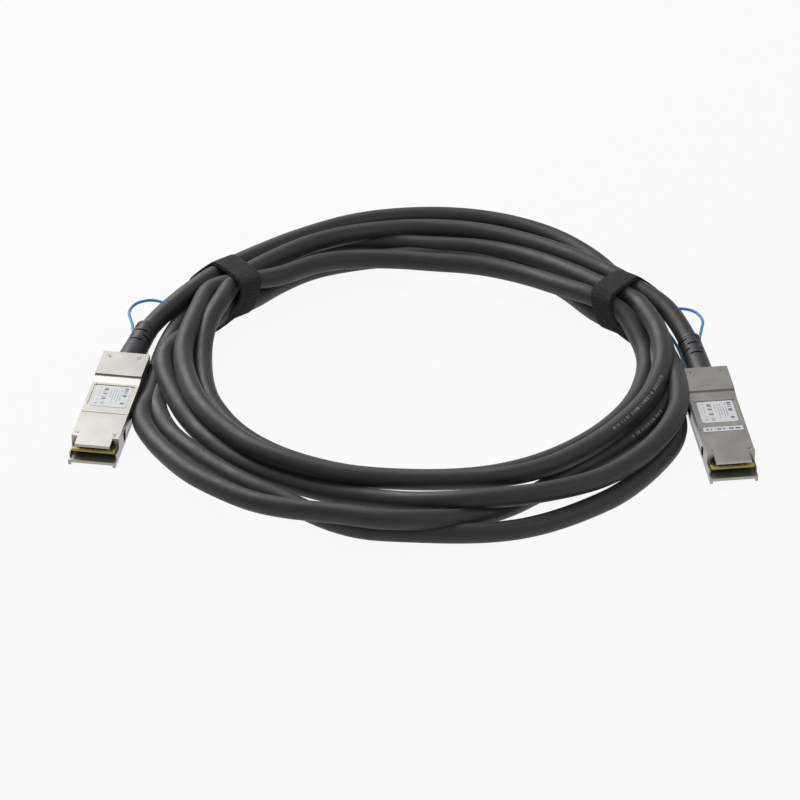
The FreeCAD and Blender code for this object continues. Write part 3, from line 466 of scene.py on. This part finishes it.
def strap(name, solid, centre, heading, front, lower_end, upper_end):
    """A ribbon (s, t) round the bundle. Round it, with angle a from the inner side,
    across = -W sgn(cos a) |cos a|^(1/2), up = H sgn(sin a) |sin a|^(1/2), a rounded
    rectangle, lifted by one layer on its second time round. Its two ends follow their
    own stations (across, up, shift, half width). A point is then the middle line at s,
    plus t half widths along the bundle, sheared by the strap's lean. The solid is the one
    that it stands for, and front is 1 or -1, the way along the bundle that a shift goes."""
    angle = np.radians(np.arange(0.0, wrap_end + 1.0, wrap_step))
    lift = strap_fabric * np.clip((np.degrees(angle) - lift_start) / lift_run, 0.0, 1.0)
    cosine, sine = np.cos(angle), np.sin(angle)
    across = -np.sign(cosine) * np.sqrt(np.abs(cosine)) * (bundle_half_width + lift)
    up = bundle_middle + np.sign(sine) * np.sqrt(np.abs(sine)) * (bundle_half_height + lift)
    loop = np.column_stack([across, up, np.zeros_like(up), np.full_like(up, strap_half)])
    stations = np.vstack([np.array(lower_end), loop, np.array(upper_end)])
    reach = np.concatenate([[0.0], np.cumsum(np.hypot(*np.diff(stations[:, :3:2], axis=0).T)
                                             + np.abs(np.diff(stations[:, 1])))])
    t = np.linspace(-1.0, 1.0, strap_columns)
    up_grid = np.repeat(stations[:, 1:2], t.size, axis=1)
    along = (front * stations[:, 2:3] + t * stations[:, 3:4]
             - front * math.tan(strap_lean) * (up_grid - bundle_middle))
    across_grid = np.repeat(stations[:, 0:1], t.size, axis=1)
    x = centre[0] + along * math.cos(heading) - across_grid * math.sin(heading)
    y = centre[1] + along * math.sin(heading) + across_grid * math.cos(heading)
    grid = np.stack([x, y, up_grid], axis=-1).reshape(-1, 3) / 1000.0
    first = (np.arange(len(stations) - 1)[:, None] * t.size + np.arange(t.size - 1)).ravel()
    faces = np.column_stack([first, first + t.size, first + t.size + 1, first + 1])
    mesh = bpy.data.meshes.new(name)
    mesh.from_pydata(grid.tolist(), [], faces.tolist())
    flat = np.stack([np.repeat(reach[:, None], t.size, axis=1), t * stations[:, 3:4]], axis=-1)
    corners = np.empty(len(mesh.loops), dtype=np.int32)
    mesh.loops.foreach_get("vertex_index", corners)
    cloth = mesh.uv_layers.new(name="cloth")
    cloth.data.foreach_set("uv", (flat.reshape(-1, 2)[corners] / 1000.0).ravel())
    mesh.shade_smooth()
    mesh.materials.append(weave)
    band = bpy.data.objects.new(name, mesh)
    bpy.context.scene.collection.objects.link(band)
    wall = band.modifiers.new("thickness", "SOLIDIFY")
    wall.thickness = strap_fabric / 1000.0
    wall.offset = 0.0
    smooth = band.modifiers.new("smooth", "SUBSURF")
    smooth.levels = 2
    smooth.render_levels = 2
    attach(band, "cable_and_plugs")
    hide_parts(solid)


lower_tip = [(-12.9, 0.9, 17.0, 0.9), (-13.3, 2.2, 13.5, 2.6), (-13.2, 4.2, 9.0, 4.0),
             (-12.6, 6.6, 4.2, 4.8)]
upper_tip = [(12.9, 13.4, 1.6, 4.9), (13.1, 12.4, 4.4, 4.4), (12.9, 11.6, 7.6, 3.2),
             (12.4, 11.0, 10.6, 1.2)]
strap("left_strap_cloth", "left_strap", (-72.975, 61.396), math.radians(38.0), -1.0,
      lower_tip, upper_tip)
strap("right_strap_cloth", "right_strap", (84.025, 50.096), math.radians(-38.0), 1.0,
      lower_tip, upper_tip)

# ---- table, backdrop, light and camera ------------------------------------------------
# A plain white table in soft studio light: one large lamp from behind the part at the
# left, a weaker one from the front right, and an even white surround.


def pale_ground(name, color, seen):
    """A matt ground that takes shadows and is seen nearly white by eye and reflection."""
    mat, n, l, shader = new_material(name, color, 0.9)
    glow = n.new("ShaderNodeEmission")
    glow.inputs["Color"].default_value = (1.0, 1.0, 1.0, 1.0)
    blend = n.new("ShaderNodeMixShader")
    path = n.new("ShaderNodeLightPath")
    straight = calc(n, l, "MAXIMUM", path.outputs["Is Camera Ray"], path.outputs["Is Glossy Ray"])
    straight = calc(n, l, "MAXIMUM", straight, path.outputs["Is Transmission Ray"])
    l.new(calc(n, l, "MULTIPLY", straight, seen), blend.inputs["Fac"])
    l.new(shader.outputs["BSDF"], blend.inputs[1])
    l.new(glow.outputs["Emission"], blend.inputs[2])
    l.new(blend.outputs["Shader"], n["Material Output"].inputs["Surface"])
    return mat


table_half = 6.0
table_mesh = bpy.data.meshes.new("table")
table_mesh.from_pydata([(-table_half, -table_half, 0), (table_half, -table_half, 0),
                        (table_half, table_half, 0), (-table_half, table_half, 0)],
                       [], [(0, 1, 2, 3)])
table_mesh.materials.append(pale_ground("table_white", (0.60, 0.60, 0.60), 0.93))
table_top = bpy.data.objects.new("table", table_mesh)
bpy.context.scene.collection.objects.link(table_top)

ambient_white = 0.24      # light that the surround gives to every surface
seen_white = 0.76         # what is added where the camera sees it
mirrored_white = 0.25     # what is added where a reflection sees it
world = bpy.data.worlds.new("surround")
bpy.context.scene.world = world
world.use_nodes = True
n, l = world.node_tree.nodes, world.node_tree.links
surround = n["Background"]
surround.inputs["Color"].default_value = (1.0, 1.0, 1.0, 1.0)
path = n.new("ShaderNodeLightPath")
seen = calc(n, l, "MULTIPLY", path.outputs["Is Camera Ray"], seen_white)
mirrored = calc(n, l, "MULTIPLY", path.outputs["Is Glossy Ray"], mirrored_white)
strength = calc(n, l, "ADD", calc(n, l, "ADD", seen, mirrored), ambient_white)
l.new(strength, surround.inputs["Strength"])


def lamp(name, place_at, size, power):
    """A square soft lamp aimed at the middle of the coil."""
    light = bpy.data.lights.new(name, "AREA")
    light.shape = "SQUARE"
    light.size = size
    light.energy = power
    holder = bpy.data.objects.new(name, light)
    bpy.context.scene.collection.objects.link(holder)
    holder.location = place_at
    x, y, z = place_at
    holder.rotation_euler = (math.atan2(math.hypot(x, y), z), 0, math.atan2(x, -y))


lamp("key", (-0.70, 0.95, 0.95), 1.0, 19.0)
lamp("fill", (0.7, -0.5, 0.9), 0.7, 2.2)

elevation = math.radians(33.0)
aim = (-0.004575, -0.006604)
distance = 1.7
camera_data = bpy.data.cameras.new("camera")
camera_data.lens = 196.77
camera_data.clip_start = 0.05
camera = bpy.data.objects.new("camera", camera_data)
bpy.context.scene.collection.objects.link(camera)
camera.location = (aim[0], aim[1] - distance * math.cos(elevation),
                   distance * math.sin(elevation))
camera.rotation_euler = (math.pi / 2 - elevation, 0, 0)
bpy.context.scene.camera = camera
bpy.context.scene.view_settings.view_transform = "Standard"
